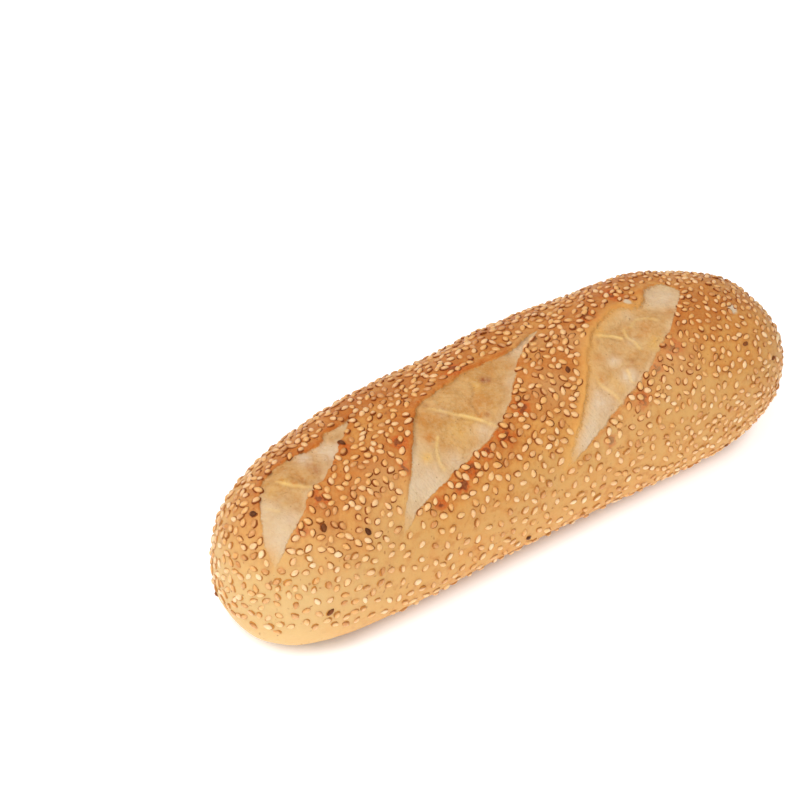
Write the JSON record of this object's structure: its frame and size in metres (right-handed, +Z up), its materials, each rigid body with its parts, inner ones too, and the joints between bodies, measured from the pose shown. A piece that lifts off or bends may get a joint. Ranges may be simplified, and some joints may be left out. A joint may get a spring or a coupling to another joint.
{
  "type": "sesame mini baguette",
  "caption": "Plump short baguette with rounded ends, slanting pale scores and a golden crust covered in sesame seeds.",
  "frame": {"origin": "on the surface that the loaf rests on, under the middle of its box", "axes": "+X along the loaf towards its rounder end, +Z up; the scores are cut across the crown and down the -Y side"},
  "size_m": [0.2202, 0.0732, 0.0572],
  "materials": {
    "crust": "baked golden crust, satin, browner on the crown and paler low down",
    "crumb": "pale matte crumb that has risen in the scores",
    "sesame": "toasted hulled sesame, lightly oily"
  },
  "bodies": {
    "root": {"sesame_loaf": "crust"}
  },
  "joints": []
}
